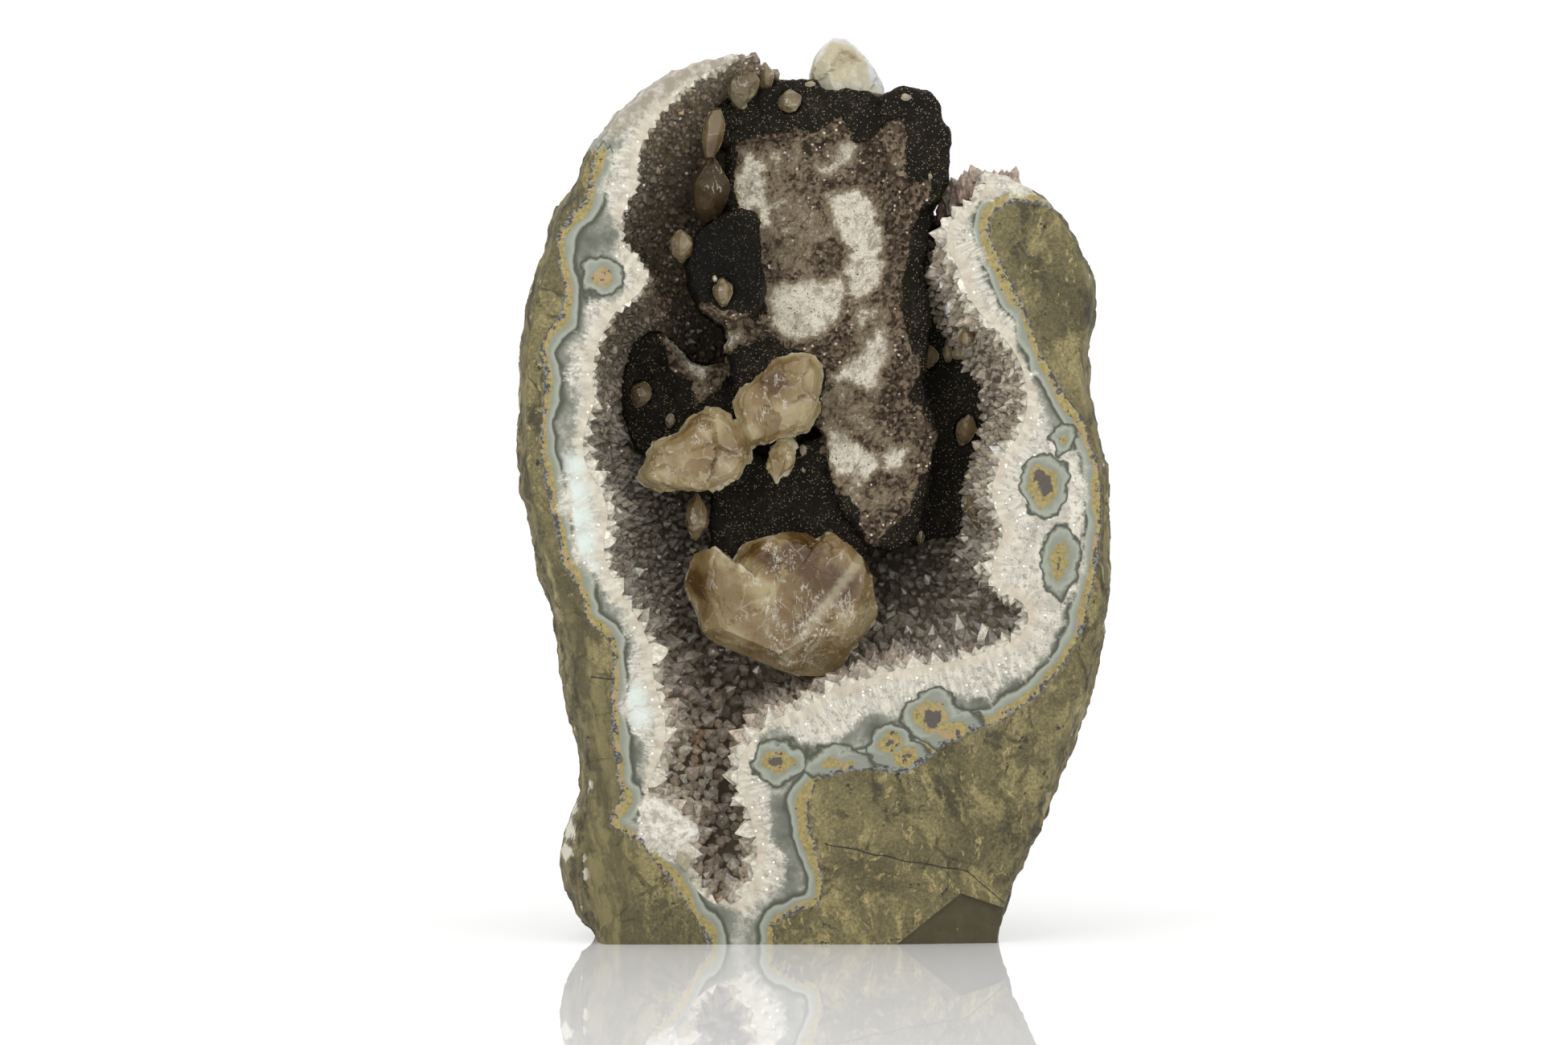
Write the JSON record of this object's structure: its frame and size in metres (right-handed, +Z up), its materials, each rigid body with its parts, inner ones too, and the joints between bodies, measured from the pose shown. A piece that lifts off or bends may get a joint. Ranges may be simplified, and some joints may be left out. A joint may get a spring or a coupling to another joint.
{
  "type": "quartz and agate geode with calcite crystals",
  "caption": "Standing geode, sawn flat in front, with an agate rim, a grey druse hollow, a block of black druse inside and clear calcite crystals; it rests on its flat base.",
  "frame": {"origin": "on the flat base, under the middle of the whole specimen's bounding box", "axes": "+Z up along the specimen's height, -Y out of the sawn face towards the viewer, +X to the viewer's right"},
  "size_m": [0.1858, 0.134, 0.2871],
  "materials": {
    "rock_and_agate": "olive brown basalt, rough outside, with a thin ochre line and banded grey-green agate polished on the sawn face",
    "quartz_druse": "white quartz at the rim running into grey-mauve crystal points with a glassy glint",
    "black_druse": "velvety black fine druse, broken grey and white quartz in front",
    "calcite_honey": "clear pale honey calcite with frosted edges and white inner veils",
    "calcite_smoky": "dark translucent calcite with a frosted edge",
    "calcite_pale": "pale greenish translucent calcite with a frosted skin"
  },
  "bodies": {
    "root": {"rock_shell": "rock_and_agate", "quartz_crust": "quartz_druse", "black_druse_block": "black_druse", "calcite_large": "calcite_honey", "calcite_top": "calcite_pale", "calcite_pair": "calcite_honey", "calcite_slim": "calcite_honey", "calcite_dark": "calcite_smoky", "calcite_column": "calcite_honey", "calcite_horn_large": "calcite_honey", "calcite_horn_small": "calcite_honey", "calcite_ledge": "calcite_honey", "calcite_cube": "calcite_honey", "calcite_lobe": "calcite_honey", "calcite_twin": "calcite_honey", "calcite_chip": "calcite_honey", "calcite_trio_left": "calcite_honey", "calcite_trio_middle": "calcite_honey", "calcite_trio_right": "calcite_honey", "calcite_wedge": "calcite_honey", "calcite_blade": "calcite_honey", "calcite_drop": "calcite_honey"}
  },
  "joints": []
}
